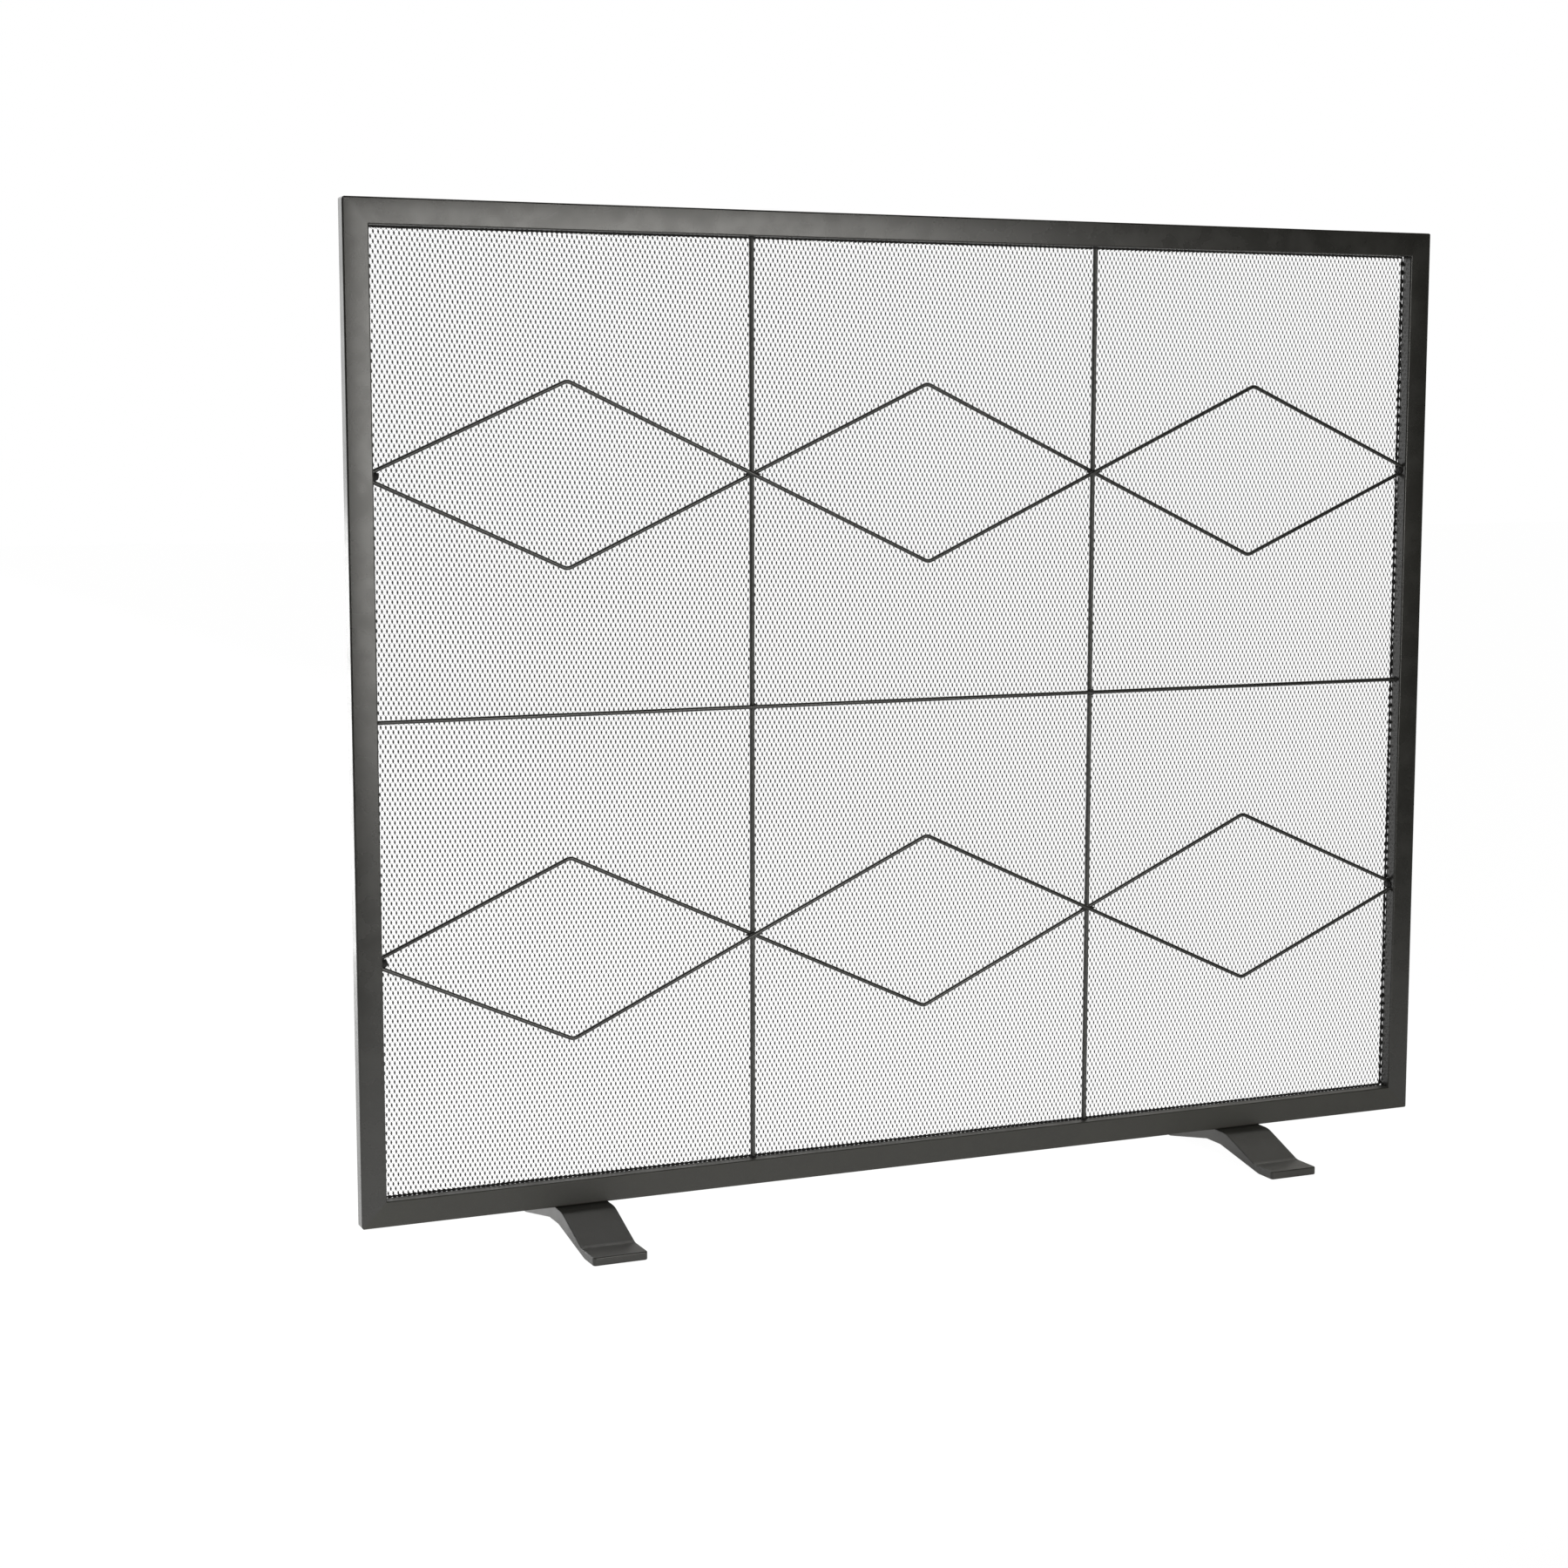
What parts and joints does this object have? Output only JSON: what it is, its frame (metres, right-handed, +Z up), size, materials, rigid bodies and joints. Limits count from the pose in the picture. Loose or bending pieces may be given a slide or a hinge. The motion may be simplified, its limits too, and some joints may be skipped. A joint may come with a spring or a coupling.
{
  "type": "fireplace screen",
  "caption": "Flat free-standing fireplace screen: rectangular tube frame, diamond pattern of bent rods over fine expanded-metal mesh, and two low cross feet.",
  "frame": {"origin": "on the floor, midway along the screen and midway through the frame's depth, at the middle between the feet's pads", "axes": "+X along the screen to the right as seen from the front, +Y from the front to the back, +Z up"},
  "size_m": [0.965, 0.1844, 0.7988],
  "materials": {
    "frame_coat": "satin dark graphite powder coat",
    "rod_coat": "satin dark graphite powder coat",
    "strip_coat": "satin dark graphite powder coat",
    "foot_coat": "satin dark graphite powder coat",
    "mesh": "matt black coated expanded metal",
    "fastener": "black oxide",
    "bare_steel": "plain zinc-plated steel"
  },
  "bodies": {
    "root": {"top_rail": "frame_coat", "bottom_rail": "frame_coat", "left_stile": "frame_coat", "right_stile": "frame_coat", "left_upright_rod": "rod_coat", "right_upright_rod": "rod_coat", "middle_cross_rod": "rod_coat", "upper_front_zigzag": "rod_coat", "upper_left_back_rod": "rod_coat", "upper_middle_back_rod": "rod_coat", "upper_right_back_rod": "rod_coat", "lower_front_zigzag": "rod_coat", "lower_left_back_rod": "rod_coat", "lower_middle_back_rod": "rod_coat", "lower_right_back_rod": "rod_coat", "mesh_panel": "mesh", "top_mesh_strip": "strip_coat", "bottom_mesh_strip": "strip_coat", "left_mesh_strip": "strip_coat", "right_mesh_strip": "strip_coat", "mesh_strip_rivets": "fastener", "left_foot": "foot_coat", "right_foot": "foot_coat", "left_tapped_block": "bare_steel", "right_tapped_block": "bare_steel", "foot_screws": "fastener"}
  },
  "joints": []
}
